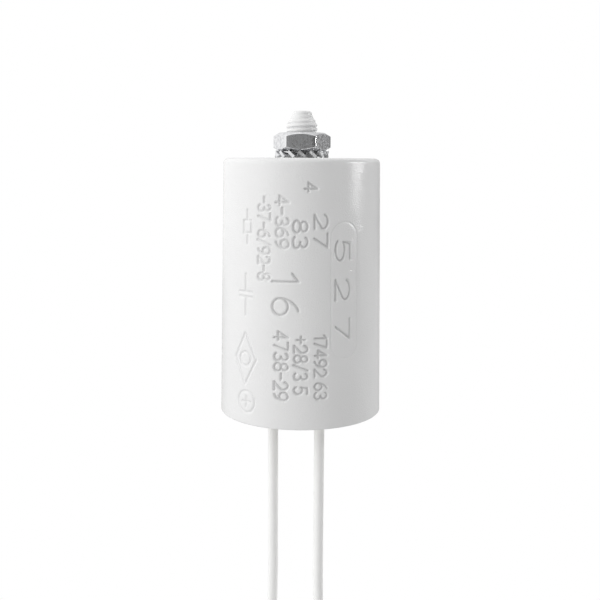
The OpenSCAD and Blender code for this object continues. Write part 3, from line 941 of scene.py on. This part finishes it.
def addWasher(finish):
    half, columns = washer["toothWide"] / 2, washer["toothColumns"]
    offsets = np.linspace(-half, half, columns)
    sectors = np.arange(washer["teeth"]) * 360 / washer["teeth"] + washer["turn"]
    faces = ringFaces(offsets, sectors)
    blocks = Blocks()
    blocks.add(faces[1])
    blocks.add(faces[-1][::-1])
    blocks.add(np.stack([faces[-1][0], faces[1][0]]))
    for number, turn in enumerate(sectors):
        addTooth(blocks, offsets, turn, washer["lean"][number])
        # the ring's outer edge in the gap, from this tooth's last column to the next one's first
        last = number * (columns + 1) + columns - 1
        wall = (last + np.arange(3)) % ((columns + 1) * washer["teeth"])
        blocks.add(np.stack([faces[1][-1][wall], faces[-1][-1][wall]]), closed=False)
    piece = addPiece("serrated_lock_washer", *blocks.together(), finish, smoothBelow=40.0,
                     stands=["lock_washer"], weld=True)
    soften(piece, washer["edge"], above=50)


# Bright zinc plating over a rough forged face: shallow pits and waves that catch the light, a little duller
# in the pits. The upright corners are rubbed smooth, and their brighter colour is a painted highlight.
def nutZinc():
    finish = Finish("zinc_plate", "nut_zinc", {"Metallic": 1.0})
    mottle = finish.noise(1.5, detail=3.0, rough=0.6)
    fine = finish.noise(4.5, detail=3.0)
    spots = finish.between(mottle, 0.4, 0.65, "SMOOTHSTEP")
    # Rubbing takes the corners' bumps and roughness away, and their brighter colour is a painted highlight
    # along them
    rubbed = finish.between(finish.fromAxis(), nut["rubAndHighlightFrom"] * mm, nut["rubAndHighlightFull"] * mm, "SMOOTHSTEP")
    clean = (spots + rubbed).clamp()
    finish.vary("Base Color", finish.blend(clean, (0.68, 0.685, 0.70, 1), (0.88, 0.88, 0.89, 1)))
    finish.vary("Roughness", 0.2 + (1.0 - clean) * 0.13)
    finish.bump((mottle + fine * 0.5) * (1.0 - rubbed), 0.015)
    return finish


# Plated spring steel, clouded and slightly uneven all over
def washerSteel():
    finish = Finish("plated_spring_steel", "washer_steel", {"Metallic": 1.0})
    mottle = finish.noise(2.2, detail=4.0)
    finish.vary("Base Color", finish.blend(mottle, (0.76, 0.77, 0.78, 1), (0.92, 0.92, 0.93, 1)))
    finish.vary("Roughness", 0.24 + mottle * 0.12)
    finish.bump(mottle, 0.05)
    return finish


addNut(nutZinc())
addWasher(washerSteel())


print("resin face")
resinFace = {
    "recess": 2.0,         # below the rim
    "radius": 19.23,
    "climb": 0.5,          # how far the resin creeps up the wall, and over what distance
    "climbOver": 0.7,
    "leadClimb": 0.35,     # and the same at the leads
    "leadOver": 0.45,
    "wave": 0.05,
    "film": 0.04,          # the face lies this far outside the solid resin
    "thick": 0.3,
    "hub": 0.4,            # radius of the first ring
    "openTo": 16.5,        # up to here the rings are further apart than by the wall
    "openRings": 46,
    "wallFrom": 16.8,
    "wallRings": 12,
    "columns": 180,
}


# The cast face: level, with slow waves, and creeping up the wall and the leads. Each climb falls
# off as an exponential of the distance from what it clings to.
def addResinFace(finish):
    openRings = np.linspace(resinFace["hub"], resinFace["openTo"], resinFace["openRings"])
    wallRings = np.linspace(resinFace["wallFrom"], resinFace["radius"], resinFace["wallRings"])
    radii = np.concatenate([openRings, wallRings])[:, None]
    turn = np.linspace(-180, 180, resinFace["columns"], endpoint=False)
    x, y = radii * np.sin(np.radians(turn)), -radii * np.cos(np.radians(turn))
    waves = 0.5 + 0.25 * np.sin(x * 0.7 + 1) + 0.25 * np.cos(y * 0.9 + x * 0.3)
    level = resinFace["film"] + resinFace["wave"] * waves
    level = level + resinFace["climb"] * np.exp((radii - resinFace["radius"]) / resinFace["climbOver"])
    for side in routes:
        at = routes[side][1]
        away = np.maximum(np.hypot(x - at[0], y - at[1]) - lead["diameter"] / mm / 2, 0)
        level = level + resinFace["leadClimb"] * np.exp(-away / resinFace["leadOver"])
    face = -cupHigh + resinFace["recess"]
    blocks = Blocks()
    lower = blocks.add(ringBlock(turn, radii, face - level))
    upper = blocks.add(ringBlock(turn, radii[::-1], face + resinFace["thick"]))
    blocks.collar(upper[0], turn, lower[-1], turn)
    blocks.pole(face - level[0].mean(), lower[0], True)
    blocks.pole(face + resinFace["thick"], upper[-1], False)
    addPiece("resin_face", *blocks.together(), finish)


# Cast resin: off-white, cloudy, half glossy, with a few pinholes from bubbles
def castResin():
    finish = Finish("cast_resin", "resin", {"IOR": 1.5})
    cloud = finish.noise(0.12, detail=4.0)
    finish.vary("Base Color", finish.blend(cloud, (0.66, 0.64, 0.58, 1), (0.78, 0.76, 0.70, 1)))
    ripple = finish.noise(0.5, detail=3.0)
    finish.vary("Roughness", 0.25 + ripple * 0.2)
    # a pinhole in each cell of about 3 mm, a ninth of the cell in radius
    bubbles = finish.add("TexVoronoi", {"feature": "F1"}, {"Vector": finish.place(), "Scale": 0.35 / mm})
    hole = (1.0 - bubbles * 9.0).clamp()
    finish.bump(ripple * 0.3 - hole, 0.12)
    return finish


resin = castResin()
addResinFace(resin)


print("inner pieces")
filmRing = 0.25 * mm    # from one ring on the winding's ends to the next


# Wound film: its turns show as fine rings on the ends, a sine of the distance from the axis
def woundFilm():
    finish = Finish("wound_film", "film", {"Metallic": 0.35})
    turns = finish.math("SINE", finish.fromAxis() * (2 * math.pi / filmRing))
    finish.vary("Base Color", finish.blend(turns * 0.5 + 0.5, (0.55, 0.56, 0.58, 1), (0.78, 0.79, 0.80, 1)))
    finish.vary("Roughness", 0.3 + finish.noise(1.0) * 0.15)
    finish.bump(turns, 0.01)
    return finish


# One slot's plain finish: a colour that clouds between two tones, a roughness that varies, a grain
def simpleFinish(name, slotName, dark, light, rough, perMm, grainMm, metallic=0.0):
    finish = Finish(name, slotName, {"Metallic": metallic})
    grain = finish.noise(perMm, detail=4.0)
    finish.vary("Base Color", finish.blend(grain, (*dark, 1), (*light, 1)))
    finish.vary("Roughness", rough + grain * 0.15)
    finish.bump(grain, grainMm)
    return finish


innerFinishes = {
    "film_winding": woundFilm(),
    "core_tube": simpleFinish("core_plastic", "core_plastic", (0.78, 0.75, 0.66), (0.86, 0.84, 0.76),
                              rough=0.4, perMm=0.8, grainMm=0.02),
    "winding_wrap": simpleFinish("wrap_film", "wrap_film", (0.72, 0.62, 0.36), (0.84, 0.76, 0.50),
                                 rough=0.15, perMm=0.5, grainMm=0.02),
    "zinc_spray_upper": simpleFinish("sprayed_zinc", "zinc", (0.38, 0.39, 0.41), (0.6, 0.61, 0.62),
                                     rough=0.55, perMm=5.0, grainMm=0.08, metallic=0.8),
    "link_wire": simpleFinish("bare_copper", "copper", (0.70, 0.36, 0.22), (0.86, 0.50, 0.33),
                              rough=0.2, perMm=3.0, grainMm=0.01, metallic=1.0),
    "solder_upper": simpleFinish("bright_solder", "solder", (0.62, 0.63, 0.65), (0.78, 0.79, 0.80),
                                 rough=0.18, perMm=1.2, grainMm=0.04, metallic=1.0),
    "discharge_resistor": simpleFinish("resistor_lacquer", "resistor_body",
                                       (0.66, 0.50, 0.30), (0.78, 0.62, 0.40),
                                       rough=0.3, perMm=1.5, grainMm=0.02),
    "resistor_wires": tinned,
    "potting_resin": resin,
}
sameAs = {
    "zinc_spray_lower": "zinc_spray_upper", "solder_left": "solder_upper", "solder_right": "solder_upper",
    "inner_end_left": "link_wire", "inner_end_right": "link_wire",
}


def dressNode(name, finish):
    node = nodes[name]
    if not node.material_slots:
        node.data.materials.append(None)
    node.material_slots[0].material = finish.material


for name, finish in innerFinishes.items():
    dressNode(name, finish)
for name, other in sameAs.items():
    dressNode(name, innerFinishes[other])

print("finish")
